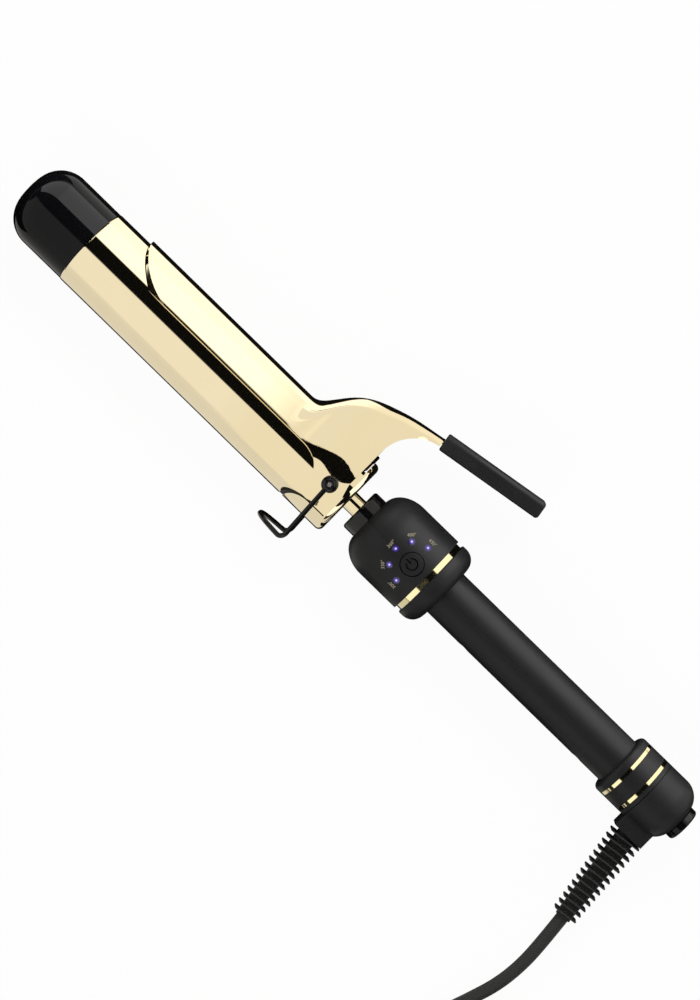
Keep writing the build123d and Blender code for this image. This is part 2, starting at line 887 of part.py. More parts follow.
with BuildPart() as led_lenses:
    with BuildSketch(side.offset(board_top + led_chip)):
        with Locations(*light_places):
            Circle(led_r)
    extrude(amount=head_r)
    with BuildSketch(across(head_front)):
        Circle(head_r + seat)
    extrude(amount=head_len, mode=Mode.INTERSECT)
finish(led_lenses, "led_lenses")

with BuildPart() as control_board:
    board_half = sqrt(inner_r**2 - board_top**2) - play
    board_mid = head_back - shell_wall - play - board_len / 2
    with BuildSketch(side.offset(board_top)):
        with Locations((board_mid, 0)):
            Rectangle(board_len, 2 * board_half)
    extrude(amount=-board_thick)
    fillet(control_board.edges().filter_by(Axis.Z), radius=board_corner)
    with BuildSketch(side.offset(board_top)):
        with Locations(*light_places):
            Rectangle(2 * led_r, 3 * led_r)
    extrude(amount=led_chip - seat)
finish(control_board, "control_board")

with BuildPart() as tact_switch:
    with BuildSketch(side.offset(board_top + seat)):
        with Locations((button_x, 0)):
            Rectangle(switch_side, switch_side)
    extrude(amount=switch_height)
    with BuildSketch(side.offset(board_top + seat + switch_height)):
        with Locations((button_x, 0)):
            Circle(switch_plunger_r)
    low_face = button_face - button_depth - button_lip_len / 2
    extrude(amount=low_face - button_travel - 2 * seat - board_top - switch_height)
finish(tact_switch, "tact_switch")

# ---- rear collar ----------------------------------------------------------------

web_front = tail_x + play
web_back = web_front + collar_web
recess_r = dome_cavity_r + dome_cavity_step
band_places = [collar_front + gold_band_front + n * gold_band_pitch for n in range(2)]

with BuildPart() as end_collar:
    with BuildSketch(side):
        with BuildLine():
            collar_face = (collar_front, collar_r - collar_round)
            collar_edge = (collar_front + collar_round, collar_r)
            RadiusArc(collar_face, collar_edge, collar_round)
            Polyline(
                collar_edge,
                (collar_back, collar_r),
                (collar_back, recess_r),
                (web_back, recess_r),
                (web_back, spindle_r + seat),
                (web_front, spindle_r + seat),
                (web_front, handle_r + seat),
                (collar_front, handle_r + seat),
                collar_face,
            )
        make_face()
    revolve(axis=iron_axis)
    for station in band_places:
        with BuildSketch(across(station)):
            Circle(collar_r + collar_round)
            Circle(collar_r - gold_band_depth, mode=Mode.SUBTRACT)
        extrude(amount=gold_band_len, mode=Mode.SUBTRACT)
finish(end_collar, "end_collar")

with BuildPart() as collar_bands:
    for station in band_places:
        with BuildSketch(across(station + seat)):
            Circle(collar_r)
            Circle(collar_r - gold_band_depth + seat, mode=Mode.SUBTRACT)
        extrude(amount=gold_band_len - 2 * seat)
finish(collar_bands, "collar_bands")

# ---- swivel ---------------------------------------------------------------------

web_start = dome_front + dome_web_front
web_end = web_start + dome_web_len
rear_wall = dome_back - dome_web_front

with BuildPart() as swivel_spindle:
    with BuildSketch(side):
        with BuildLine():
            flange_front = web_front - spindle_lip_len - seat
            Polyline(
                (flange_front, spindle_bore),
                (flange_front, spindle_flange_r),
                (web_front - seat, spindle_flange_r),
                (web_front - seat, spindle_r),
                (web_end + seat, spindle_r),
                (web_end + seat, spindle_lip_r),
                (web_end + seat + spindle_lip_len, spindle_lip_r),
                (web_end + seat + spindle_lip_len, spindle_bore),
                close=True,
            )
        make_face()
    revolve(axis=iron_axis)
finish(swivel_spindle, "swivel_spindle")

with BuildPart() as slip_rings:
    with BuildSketch(across(web_back)):
        for radius in reversed(ring_radii):
            Circle(radius + ring_width / 2)
            Circle(radius - ring_width / 2, mode=Mode.SUBTRACT)
    extrude(amount=ring_len)
finish(slip_rings, "slip_rings")

with BuildPart() as contact_brushes:
    with BuildSketch(across(web_back + ring_len + play)):
        with Locations((-ring_radii[0], 0), (-ring_radii[1], 0)):
            Rectangle(ring_width * 0.8, ring_width)
    extrude(amount=web_start - web_back - ring_len - play)
finish(contact_brushes, "contact_brushes")

with BuildPart() as swivel_dome:
    with BuildSketch(side):
        with BuildLine():
            dome_edge = (dome_back - dome_corner, collar_r)
            dome_face = (dome_back, collar_r - dome_corner)
            RadiusArc(dome_edge, dome_face, dome_corner)
            Polyline(
                dome_face,
                (dome_back, 0),
                (dome_front, 0),
                (dome_front, collar_r),
                dome_edge,
            )
        make_face()
    revolve(axis=iron_axis)
    with BuildSketch(plan(-block_drop)):
        with Locations((dome_front + block_width / 2, 0)):
            Rectangle(block_width, block_depth)
    extrude(amount=block_drop - spindle_r)
    fillet(swivel_dome.edges().filter_by(Axis.Y), radius=block_round)
    with BuildSketch(side):
        with BuildLine():
            Polyline(
                (dome_front, 0),
                (dome_front, recess_r),
                (web_start, recess_r),
                (web_start, spindle_r + 2 * seat),
                (web_end, spindle_r + 2 * seat),
                (web_end, dome_cavity_r),
                (rear_wall - dome_cavity_slope, dome_cavity_r),
                (rear_wall, dome_cavity_r - dome_cavity_slope),
                (rear_wall, end_disc_stem_r + seat),
                (dome_back, end_disc_stem_r + seat),
                (dome_back, 0),
                close=True,
            )
        make_face()
    revolve(axis=iron_axis, mode=Mode.SUBTRACT)
    with BuildSketch(plan(-block_drop)):
        with Locations((relief_x, 0)):
            Circle(cord_r + seat)
    extrude(amount=block_drop, mode=Mode.SUBTRACT)
finish(swivel_dome, "swivel_dome")

with BuildPart() as end_disc:
    with BuildSketch(across(dome_back)):
        Circle(end_disc_r)
    extrude(amount=end_disc_len)
    fillet(end_disc.edges().sort_by(Axis.X)[-1], radius=end_disc_round)
    with BuildSketch(across(dome_back)):
        Circle(end_disc_stem_r)
    extrude(amount=rear_wall - dome_back)
finish(end_disc, "end_disc")

# ---- strain relief --------------------------------------------------------------

lean = radians(relief_lean)
relief_way = Vector(sin(lean), -cos(lean), 0)
relief_start = place(relief_x, -block_drop, 0)


def relief_plane(distance):
    """Plane square to the strain relief: its x is along the iron, its y upright."""
    return Plane(relief_start + relief_way * distance, x_dir=(cos(lean), sin(lean), 0), z_dir=relief_way)


with BuildPart() as strain_relief:
    overlap = relief_core * sin(lean)
    taper = (relief_core_end - relief_core) / relief_len
    for distance in (-overlap, relief_len):
        width = relief_core + taper * distance
        with BuildSketch(relief_plane(distance)):
            RectangleRounded(width, width, width * 0.3)
    loft()
    for number in range(fin_count):
        distance = fin_first + number * fin_pitch
        share = number / (fin_count - 1)
        width = fin_width + (fin_width_end - fin_width) * share
        with BuildSketch(relief_plane(distance)):
            RectangleRounded(width, width, width * 0.12)
        extrude(amount=fin_len)
    split(bisect_by=plan(-block_drop), keep=Keep.BOTTOM)
finish(strain_relief, "strain_relief")

# ---- cord, coil, tie and plug ---------------------------------------------------

cord_exit = relief_start + relief_way * relief_len
coil_centre = Vector(cord_exit.X + coil_across, cord_exit.Y - coil_out, 0)
coil_low_turn = coil_lift + cord_r
coil_high_turn = coil_low_turn + 2 * cord_r * (coil_layers - 1)
coil_height = 2 * cord_r * coil_layers

# points of the lead, from where it leaves the strain relief: along X, along Y and
# height above the table
lead_steps = (
    (0.0, 0.0, axis_height),
    (1.4, -12.8, 24.0),
    (2.7, -27.5, 20.6),
    (2.2, -42.5, 13.4),
    (-1.2, -57.0, 7.0),
    (-5.4, -70.2, 4.2),
    (-11.1, -83.4, 4.0),
)
# points of the short end from the coil's upper layer to the plug
tail_steps = (
    (81.3, -101.0, 10.0),
    (82.2, -90.5, 9.4),
    (82.0, -80.0, 7.9),
    (81.4, -69.0, 7.0),
)


def cord_piece(steps, name):
    """Sweep the cord along straight runs joined by arcs as large as the runs allow."""
    points = [Vector(cord_exit.X + x, cord_exit.Y + y, z) for x, y, z in steps]
    runs = [after - before for before, after in zip(points, points[1:])]
    radii = []
    for run, following in zip(runs, runs[1:]):
        shorter = min(run.length, following.length)
        turn = radians(run.get_angle(following))
        radii.append(0.45 * shorter / tan(turn / 2))
    print(name, "radii", [round(radius, 1) for radius in radii])
    with BuildPart() as cord:
        with BuildLine() as path:
            FilletPolyline(*points, radius=radii)
        with BuildSketch(Plane(origin=path.line @ 0, z_dir=path.line % 0)):
            Circle(cord_r)
        sweep(path=path.line)
    length = sum(edge.length for edge in path.edges())
    share = cord.part.volume / (pi * cord_r**2 * length)
    print(name, "length", round(length, 1), "volume over section x length", round(share, 4))
    finish(cord, name)
    return points[-1]


cord_piece(lead_steps, "cord_lead")
plug_start = cord_piece(tail_steps, "cord_tail")

with BuildPart() as cord_coil:
    with BuildSketch(Plane(coil_centre + Vector(0, 0, coil_lift))):
        Circle(coil_outer_turn + cord_r)
        Circle(coil_inner_turn - cord_r, mode=Mode.SUBTRACT)
    extrude(amount=coil_height)
    fillet(cord_coil.edges(), radius=cord_r * 0.8)
finish(cord_coil, "cord_coil")

with BuildPart() as cord_tie:
    tie_out = coil_outer_turn + cord_r + play
    tie_in = sqrt((coil_inner_turn - cord_r) ** 2 - tie_width**2 / 4) - play
    tie_middle = coil_centre + Vector(0, -(tie_out + tie_in) / 2, coil_lift + coil_height / 2)
    tie_span = tie_out - tie_in
    tie_high = coil_height + 2 * (coil_lift - tie_thick)
    with BuildSketch(Plane(tie_middle, x_dir=(0, 1, 0), z_dir=(1, 0, 0))):
        RectangleRounded(tie_span + 2 * tie_thick, tie_high + 2 * tie_thick, cord_r)
        RectangleRounded(tie_span, tie_high, cord_r - tie_thick, mode=Mode.SUBTRACT)
    extrude(amount=tie_width / 2, both=True)
finish(cord_tie, "cord_tie")


def plug_plane(distance):
    """Plane square to the plug at a distance from its cord end: its x is +X."""
    return Plane(plug_start + Vector(0, distance, 0), x_dir=(1, 0, 0), z_dir=(0, 1, 0))


with BuildPart() as plug_body:
    plug_front = plug_neck_len + plug_len
    with BuildSketch(plug_plane(0)):
        RectangleRounded(2.6 * cord_r, 2.6 * cord_r, cord_r)
    with BuildSketch(plug_plane(plug_neck_len)):
        RectangleRounded(plug_width * 0.55, plug_thick * 0.8, cord_r)
    loft()
    with BuildSketch(plug_plane(plug_neck_len)):
        RectangleRounded(plug_width * 0.8, plug_thick * 0.9, cord_r)
    with BuildSketch(plug_plane(plug_neck_len + plug_len * 0.4)):
        RectangleRounded(plug_width, plug_thick * 0.96, cord_r)
    with BuildSketch(plug_plane(plug_front)):
        RectangleRounded(plug_width * 0.94, plug_thick, cord_r)
    loft()
    fillet(plug_body.faces().sort_by(Axis.Y)[-1].edges(), radius=plug_round)
    with BuildSketch(plug_plane(plug_front - blade_socket)):
        with Locations((-blade_pitch / 2, 0), (blade_pitch / 2, 0)):
            Rectangle(blade_thick + 2 * seat, blade_width + 2 * seat)
    extrude(amount=2 * blade_socket, mode=Mode.SUBTRACT)
finish(plug_body, "plug_body")

with BuildPart() as plug_blades:
    with BuildSketch(plug_plane(plug_front - blade_socket + seat)):
        with Locations((-blade_pitch / 2, 0), (blade_pitch / 2, 0)):
            Rectangle(blade_thick, blade_width)
    extrude(amount=blade_len + blade_socket)
    blade_tips = plug_blades.edges().filter_by(Axis.X).group_by(Axis.Y)[-1]
    chamfer(blade_tips, length=blade_point)
    hole_centre = plug_start + Vector(0, plug_front + blade_len * 0.7, 0)
    with BuildSketch(Plane(hole_centre, x_dir=(0, 1, 0), z_dir=(1, 0, 0))):
        Circle(blade_hole_r)
    extrude(amount=blade_pitch, both=True, mode=Mode.SUBTRACT)
finish(plug_blades, "plug_blades")
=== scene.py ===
import json
import math

import bmesh
import bpy
from mathutils import Matrix, Vector


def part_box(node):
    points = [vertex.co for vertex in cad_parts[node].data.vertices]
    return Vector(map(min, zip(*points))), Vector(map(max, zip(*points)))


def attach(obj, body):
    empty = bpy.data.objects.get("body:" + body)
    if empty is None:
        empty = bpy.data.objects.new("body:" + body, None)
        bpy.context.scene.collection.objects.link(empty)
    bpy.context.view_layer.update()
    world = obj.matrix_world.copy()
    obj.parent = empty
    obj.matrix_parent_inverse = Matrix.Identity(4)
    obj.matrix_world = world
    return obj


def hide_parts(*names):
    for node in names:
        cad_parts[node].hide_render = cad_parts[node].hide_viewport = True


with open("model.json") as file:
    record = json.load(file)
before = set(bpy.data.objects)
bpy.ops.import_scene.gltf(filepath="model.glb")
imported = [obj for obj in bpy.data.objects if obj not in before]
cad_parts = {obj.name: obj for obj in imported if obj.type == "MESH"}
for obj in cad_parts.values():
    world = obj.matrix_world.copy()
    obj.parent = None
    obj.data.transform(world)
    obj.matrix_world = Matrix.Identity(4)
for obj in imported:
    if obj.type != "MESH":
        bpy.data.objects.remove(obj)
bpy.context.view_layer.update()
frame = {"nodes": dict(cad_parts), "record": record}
nodes = frame["nodes"]
scene = bpy.context.scene
scene.view_settings.view_transform = "Standard"
print("frame loaded,", len(nodes), "nodes")

# the iron's axis runs along X through the middle of the nose ring
noseLow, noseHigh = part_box("nose_ring")
axis = (noseLow + noseHigh) / 2
mouth = Vector((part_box("barrel_end")[1].x, axis.y, axis.z))


# camera, over the iron and turned so that it runs across the frame
cameraSettings = {"lens": 111.6, "distance": 1.34, "tilt": 3.5, "roll": 44.3, "clipEnd": 20}


def setCamera(settings):
    tilt = math.radians(settings["tilt"])
    roll = math.radians(settings["roll"])
    back = Vector((0, math.sin(tilt), math.cos(tilt)))
    side = Vector((1, 0, 0))
    top = back.cross(side)
    right = math.cos(roll) * side + math.sin(roll) * top
    up = math.cos(roll) * top - math.sin(roll) * side
    turn = Matrix((right, up, back)).transposed().to_4x4()
    data = bpy.data.cameras.new("camera")
    data.lens = settings["lens"]
    data.clip_end = settings["clipEnd"]
    camera = bpy.data.objects.new("camera", data)
    scene.collection.objects.link(camera)
    camera.matrix_world = Matrix.Translation(mouth + back * settings["distance"]) @ turn
    scene.camera = camera


setCamera(cameraSettings)


def newMaterial(name):
    # a new material with its node tree and its shader
    material = bpy.data.materials.new(name)
    material.use_nodes = True
    tree = material.node_tree
    shader = tree.nodes["Principled BSDF"]
    return material, tree, shader


def addNode(tree, kind, settings=None, **inputs):
    # a shader node; an input goes by its name, or by i and its number
    node = tree.nodes.new("ShaderNode" + kind)
    for key, value in (settings or {}).items():
        setattr(node, key, value)
    for key, value in inputs.items():
        numbered = key[0] == "i" and key[1:].isdigit()
        socket = node.inputs[int(key[1:]) if numbered else key]
        if isinstance(value, bpy.types.NodeSocket):
            tree.links.new(value, socket)
        else:
            socket.default_value = value
    return node


def objectPoint(tree):
    return addNode(tree, "TexCoord").outputs["Object"]


# cord: out of the strain relief, down to the table and into a round coil, then the plug
cord = {
    "radius": 0.003,
    "exit": (0.18789, -0.07833, 0.0242),
    "lead": ((0, 0, 0.0242), (0.0014, -0.0128, 0.0240), (0.0027, -0.0275, 0.0206),
             (0.0022, -0.0425, 0.0134), (-0.0012, -0.0570, 0.0070), (-0.0054, -0.0702, 0.0042),
             (-0.0111, -0.0834, 0.0040)),
    "tail": ((0.0813, -0.1010, 0.0100), (0.0822, -0.0905, 0.0094), (0.0820, -0.0800, 0.0079),
             (0.0814, -0.0690, 0.0070)),
    "coilCentre": (0.0329, -0.1039),
    "coilStart": 155.0,
    "turnsPerLayer": 4.285,
    "pointsPerTurn": 16,
    "outerTurn": 0.0486,
    "innerTurn": 0.0229,
    "layers": (0.0040, 0.0100),
    "climbSteps": 8,  # points over which the cord rises from layer to layer
    "smooth": 6,
    "length": 2.05,
}


def coilPoints(c):
    # in along the lower layer, up at the middle, and out along the upper one
    steps = round(c["turnsPerLayer"] * c["pointsPerTurn"])
    stepAngle = math.radians(360 * c["turnsPerLayer"] / steps)
    points = []
    for step in range(1, 2 * steps + 1):
        share = min(step, 2 * steps - step) / steps
        radius = c["outerTurn"] + (c["innerTurn"] - c["outerTurn"]) * share
        climb = min(1, max(0, (step - steps) / c["climbSteps"] + 0.5))
        height = c["layers"][0] + (c["layers"][1] - c["layers"][0]) * climb
        angle = math.radians(c["coilStart"]) + stepAngle * step
        points.append((c["coilCentre"][0] + radius * math.cos(angle),
                       c["coilCentre"][1] + radius * math.sin(angle), height))
    return points


def makeCord(c):
    route = list(c["lead"]) + coilPoints(c) + list(c["tail"])
    curve = bpy.data.curves.new("mainsCord", "CURVE")
    curve.dimensions = "3D"
    curve.bevel_depth = 1.0  # times the radius that each point has
    curve.bevel_resolution = c["smooth"]
    curve.resolution_u = c["smooth"]
    curve.use_fill_caps = True
    spline = curve.splines.new("NURBS")
    spline.points.add(len(route) - 1)
    for point, (x, y, z) in zip(spline.points, route):
        point.co = (c["exit"][0] + x, c["exit"][1] + y, z, 1)
        point.radius = c["radius"]
    spline.order_u = 3
    spline.use_endpoint_u = True
    piece = bpy.data.objects.new("mainsCord", curve)
    scene.collection.objects.link(piece)
    return piece


mainsCord = makeCord(cord)
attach(mainsCord, "swivel")
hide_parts("cord_lead", "cord_coil", "cord_tail")
print("camera and cord made")


# studio: a white table whose mirrored side carries painted shadow, two soft lamps, two softboxes, and the
# panels and cards that the gold mirrors
studio = {
    "table": (0.93, 0.93, 0.92),
    "tableHalf": 4.0,
    "tableRough": 0.6,
    "tableSpecular": 0.2,
    "tableGlow": 0.95,
    "skyForShade": 0.5,
    # name, place, size and power of each lamp
    "lamps": (("clipSideLamp", (-0.15, 0.75, 1.0), 0.55, 5.0),
              ("standSideLamp", (0.15, -0.95, 0.95), 0.8, 3.2)),
    # softboxes that only the satin or only the gloss black pieces see
    "satinBox": {"angle": 66.0, "reach": 1.6, "width": 1.6, "length": 2.6, "forward": -0.55,
                 "power": 42.0},
    "glossBox": {"angle": 75.0, "reach": 1.6, "width": 2.8, "length": 8.0, "forward": -2.5,
                 "power": 168.0},
    # brightness of the surroundings in a mirror, by the angle from straight above to the clip side
    "mirrored": ((-152, 0.0), (-148, 0.41), (-80, 0.41), (-72, 0.485), (-7, 0.485), (-5, 0.002),
                 (32.5, 0.002), (34.5, 0.77), (133, 0.77), (137, 0.0)),
    # the same for the bands of the head, and for those of the end
    "mirroredHead": ((-152, 0.0), (-148, 0.30), (-93, 0.30), (-91, 0.02), (-89, 0.02), (-87, 0.70),
                     (-42, 0.70), (-40, 0.002), (24, 0.002), (26, 0.77), (133, 0.77), (137, 0.0)),
    "mirroredEnd": ((-152, 0.0), (-148, 0.28), (-91, 0.28), (-89, 0.004), (-75, 0.004), (-73, 0.70),
                    (-36, 0.70), (-34, 0.002), (17, 0.002), (19, 0.77), (103, 0.77), (105, 0.004),
                    (122, 0.004), (124, 0.3), (175, 0.3)),
    # the mirrored ray's run along the iron, where the one gives way to the next
    "headFrom": (0.009, 0.012),
    "endFrom": (0.085, 0.095),
    "mirroredGain": 2.0,
    "warm": (1.0, 0.975, 0.93, 1),
    "panelEnd": (0.95, 0.97),  # run along the iron over which the panels fade out
    "clipSideFrom": 0.2,  # angle in radians past which a panel is the clip side's
    # share of the clip side panel's brightness, by the mirrored ray's run along the iron
    "panelAlong": ((-0.20, 0.60), (-0.13, 1.0)),
    # dark patches painted on the table that only mirrored rays see: painted shadow of the iron round it, and
    # painted dark reflections for the head, handle, end and the run past the tip; from and to along the
    # iron, and from and to across it
    "paintedDarkPatches": ((-1.0, 1.0, -0.036, 0.050), (-0.035, 0.150, 0.0, 0.115), (0.018, 0.042, -0.12, 0.0),
              (0.056, 0.152, -0.12, 0.0), (0.179, 0.215, -0.12, 0.12), (-1.5, -0.215, -0.35, 0.35)),
    "darkPatchSoft": 0.002,
    "darkPatchGlow": 0.005,
    # cards round the hinge: angles to the clip side, distance from the axis, run along the iron,
    # soft ends, and brightness by the angle
    "hingeCards": ({"from": 29.6, "to": 103.0, "reach": 0.095, "along": (-0.066, 0.018),
                    "softAlong": (0.014, 0.002), "softTurn": 0.3, "glow": ((74, 0.93), (84, 1.06))},
                   {"from": -84.0, "to": 31.5, "reach": 0.35, "along": (-0.090, 0.030),
                    "softAlong": (0.014, 0.002), "softTurn": 0.3,
                    "glow": ((-5.0, 0.94), (-4.7, 0.004))}),
    "hingeCardSteps": 24,
    "cardColour": (1.0, 0.95, 0.86, 1),
    # painted light: the table as mirrors see it, brighter on the clip side than on the stand side
    "tableClipSide": 1.4,
    "tableStandSide": 0.80,
}


def addRamp(tree, value, places):
    # colour ramp from a list of positions with a grey value or a colour each
    ramp = addNode(tree, "ValToRGB", i0=value)
    stops = ramp.color_ramp.elements
    while len(stops) < len(places):
        stops.new(0.5)
    for stop, (position, shade) in zip(stops, places):
        stop.position = position
        stop.color = (*shade, 1) if isinstance(shade, tuple) else (shade, shade, shade, 1)
    return ramp.outputs[0]


def byAngle(places):
    # ramp positions of values that are given by an angle from -180 to 180 degrees
    return [(degrees / 360 + 0.5, value) for degrees, value in places]


def multiply(tree, first, second):
    return addNode(tree, "Math", {"operation": "MULTIPLY"}, i0=first, i1=second).outputs[0]


def makeWorld(s):
    # panels for mirrored rays, an even sky for the light on the pieces, and white for the camera
    world = bpy.data.worlds.new("studio")
    scene.world = world
    world.use_nodes = True
    tree = world.node_tree
    tree.nodes.clear()
    point = addNode(tree, "SeparateXYZ", i0=addNode(tree, "TexCoord").outputs["Generated"])
    angle = addNode(tree, "Math", {"operation": "ARCTAN2"}, i0=point.outputs["Y"], i1=point.outputs["Z"])
    place = addNode(tree, "MapRange", i0=angle.outputs[0], i1=-math.pi, i2=math.pi)
    around = None
    regions = (("mirrored", None), ("mirroredHead", s["headFrom"]), ("mirroredEnd", s["endFrom"]))
    for key, begin in regions:
        ramp = addRamp(tree, place.outputs[0], byAngle(s[key]))
        if begin:
            turn = addNode(tree, "MapRange", i0=point.outputs["X"], i1=begin[0], i2=begin[1])
            ramp = addNode(tree, "MixRGB", i0=turn.outputs[0], i1=around, i2=ramp).outputs[0]
        around = ramp
    along = addNode(tree, "Math", {"operation": "ABSOLUTE"}, i0=point.outputs["X"])
    ends = addNode(tree, "MapRange", i0=along.outputs[0], i1=s["panelEnd"][0], i2=s["panelEnd"][1],
                   i3=1.0, i4=0.0)
    run = addNode(tree, "MapRange", i0=point.outputs["X"], i1=-1.0)
    rear = addRamp(tree, run.outputs[0], [(step / 2 + 0.5, value) for step, value in s["panelAlong"]])
    clipSide = addNode(tree, "Math", {"operation": "GREATER_THAN"}, i0=angle.outputs[0],
                       i1=s["clipSideFrom"])
    dimmed = addNode(tree, "MapRange", i0=clipSide.outputs[0], i3=1.0, i4=rear)
    share = multiply(tree, ends.outputs[0], dimmed.outputs[0])
    strength = multiply(tree, share, s["mirroredGain"])
    tint = addNode(tree, "MixRGB", {"blend_type": "MULTIPLY"}, i0=1.0, i1=around, i2=s["warm"])
    mirrored = addNode(tree, "Background", Color=tint.outputs[0], Strength=strength)
    shade = addNode(tree, "Background", Color=(1, 1, 1, 1), Strength=s["skyForShade"])
    seen = addNode(tree, "Background", Color=(1, 1, 1, 1), Strength=1.0)
    light = addNode(tree, "LightPath")
    first = addNode(tree, "MixShader", i0=light.outputs["Is Glossy Ray"], i1=shade.outputs[0],
                    i2=mirrored.outputs[0])
    plain = addNode(tree, "Math", {"operation": "MAXIMUM"}, i0=light.outputs["Is Camera Ray"],
                    i1=light.outputs["Is Transmission Ray"])
    second = addNode(tree, "MixShader", i0=plain.outputs[0], i1=first.outputs[0], i2=seen.outputs[0])
    addNode(tree, "OutputWorld", Surface=second.outputs[0])


def span(tree, value, low, high, soft):
    # 1 between two places and 0 outside them, with soft edges
    rise = addNode(tree, "MapRange", i0=value, i1=low - soft, i2=low + soft)
    fall = addNode(tree, "MapRange", i0=value, i1=high - soft, i2=high + soft, i3=1.0, i4=0.0)
    return multiply(tree, rise.outputs[0], fall.outputs[0])


def makeTable(s):
    mesh = bpy.data.meshes.new("table")
    half = s["tableHalf"]
    corners = [(-half, -half, 0), (half, -half, 0), (half, half, 0), (-half, half, 0)]
    mesh.from_pydata(corners, [], [(0, 1, 2, 3)])
    table = bpy.data.objects.new("table", mesh)
    scene.collection.objects.link(table)
    material, tree, shader = newMaterial("tableWhite")
    shader.inputs["Base Color"].default_value = (*s["table"], 1)
    shader.inputs["Roughness"].default_value = s["tableRough"]
    shader.inputs["Specular IOR Level"].default_value = s["tableSpecular"]
    glow = addNode(tree, "Emission", Color=(1, 1, 1, 1), Strength=1.0)
    # what the iron mirrors of the table is painted: dark near it as the iron's painted shadow, bright
    # beyond, and brighter on the clip side than on the stand side as painted light
    place = addNode(tree, "SeparateXYZ", i0=objectPoint(tree))
    soft = s["darkPatchSoft"]
    card = None
    for begin, end, low, high in s["paintedDarkPatches"]:
        along = span(tree, place.outputs["X"], mouth.x + begin, mouth.x + end, soft)
        across = span(tree, place.outputs["Y"], mouth.y + low, mouth.y + high, soft)
        one = multiply(tree, along, across)
        if card:
            one = addNode(tree, "Math", {"operation": "MAXIMUM"}, i0=card, i1=one).outputs[0]
        card = one
    sides = addNode(tree, "MapRange", i0=place.outputs["Y"], i1=mouth.y - soft, i2=mouth.y + soft,
                    i3=s["tableStandSide"], i4=s["tableClipSide"])
    strength = addNode(tree, "MapRange", i0=card, i3=sides.outputs[0], i4=s["darkPatchGlow"])
    metal = addNode(tree, "Emission", Color=s["warm"], Strength=strength.outputs[0])
    light = addNode(tree, "LightPath")
    camera = multiply(tree, light.outputs["Is Camera Ray"], s["tableGlow"])
    first = addNode(tree, "MixShader", i0=camera, i1=shader.outputs[0], i2=glow.outputs[0])
    second = addNode(tree, "MixShader", i0=light.outputs["Is Glossy Ray"], i1=first.outputs[0],
                     i2=metal.outputs[0])
    tree.links.new(second.outputs[0], tree.nodes["Material Output"].inputs["Surface"])
    mesh.materials.append(material)


def makeHingeCard(card, steps, colour):
    # curved card with soft edges, near the hinge, that only mirrored rays see
    points, faces = [], []
    for row in range(2):
        for step in range(steps + 1):
            angle = math.radians(card["from"] + (card["to"] - card["from"]) * step / steps)
            points.append((mouth.x + card["along"][row], mouth.y + card["reach"] * math.sin(angle),
                           mouth.z + card["reach"] * math.cos(angle)))
    for step in range(steps):
        faces.append((step, step + 1, step + steps + 2, step + steps + 1))
    mesh = bpy.data.meshes.new("hingeCard")
    mesh.from_pydata(points, [], faces)
    piece = bpy.data.objects.new("hingeCard", mesh)
    scene.collection.objects.link(piece)
    material, tree, shader = newMaterial("cardGrey")
    place = addNode(tree, "SeparateXYZ", i0=objectPoint(tree))
    across = addNode(tree, "Math", {"operation": "SUBTRACT"}, i0=place.outputs["Y"], i1=mouth.y)
    up = addNode(tree, "Math", {"operation": "SUBTRACT"}, i0=place.outputs["Z"], i1=mouth.z)
    angle = addNode(tree, "Math", {"operation": "ARCTAN2"}, i0=across.outputs[0], i1=up.outputs[0])
    around = addNode(tree, "MapRange", i0=angle.outputs[0], i1=-math.pi, i2=math.pi)
    bright = addRamp(tree, around.outputs[0], byAngle(card["glow"]))
    stretch = addNode(tree, "Math", {"operation": "MULTIPLY"})
    for number, way in enumerate((1, -1)):
        begin = mouth.x + card["along"][number]
        end = begin + way * 2 * card["softAlong"][number]
        edge = addNode(tree, "MapRange", i0=place.outputs["X"], i1=begin, i2=end)
        tree.links.new(edge.outputs[0], stretch.inputs[number])
    turn = math.radians(card["softTurn"])
    low, high = math.radians(card["from"]) + turn, math.radians(card["to"]) - turn
    arch = span(tree, angle.outputs[0], low, high, turn)
    whole = multiply(tree, stretch.outputs[0], arch)
    clear = addNode(tree, "BsdfTransparent")
    glow = addNode(tree, "Emission", Color=colour, Strength=bright)
    mix = addNode(tree, "MixShader", i0=whole, i1=clear.outputs[0], i2=glow.outputs[0])
    tree.links.new(mix.outputs[0], tree.nodes["Material Output"].inputs["Surface"])
    mesh.materials.append(material)
    for ray in ("camera", "diffuse", "shadow", "transmission", "volume_scatter"):
        setattr(piece, "visible_" + ray, False)


def makeLamps(s):
    for name, place, size, power in s["lamps"]:
        data = bpy.data.lights.new(name, "AREA")
        data.shape = "DISK"
        data.size = size
        data.energy = power
        lamp = bpy.data.objects.new(name, data)
        scene.collection.objects.link(lamp)
        lamp.location = place
        lamp.rotation_euler = Vector(place).to_track_quat("Z", "Y").to_euler()
        lamp.visible_glossy = False


def makeSoftbox(name, box, receivers):
    # a large lamp on the clip side that lights only the pieces it is given
    data = bpy.data.lights.new(name, "AREA")
    data.shape = "RECTANGLE"
    data.size = box["length"]
    data.size_y = box["width"]
    data.energy = box["power"]
    lamp = bpy.data.objects.new(name, data)
    scene.collection.objects.link(lamp)
    angle = math.radians(box["angle"])
    outward = Vector((0, math.sin(angle), math.cos(angle)))
    along = Vector((1, 0, 0))
    turn = Matrix((along, outward.cross(along), outward)).transposed().to_4x4()
    lamp.matrix_world = Matrix.Translation(mouth + outward * box["reach"] + along * box["forward"]) @ turn
    seers = bpy.data.collections.new(name + "Pieces")
    for piece in receivers:
        seers.objects.link(piece)
    lamp.light_linking.receiver_collection = seers


makeWorld(studio)
makeTable(studio)
for hingeCard in studio["hingeCards"]:
    makeHingeCard(hingeCard, studio["hingeCardSteps"], studio["cardColour"])
makeLamps(studio)
print("studio made")


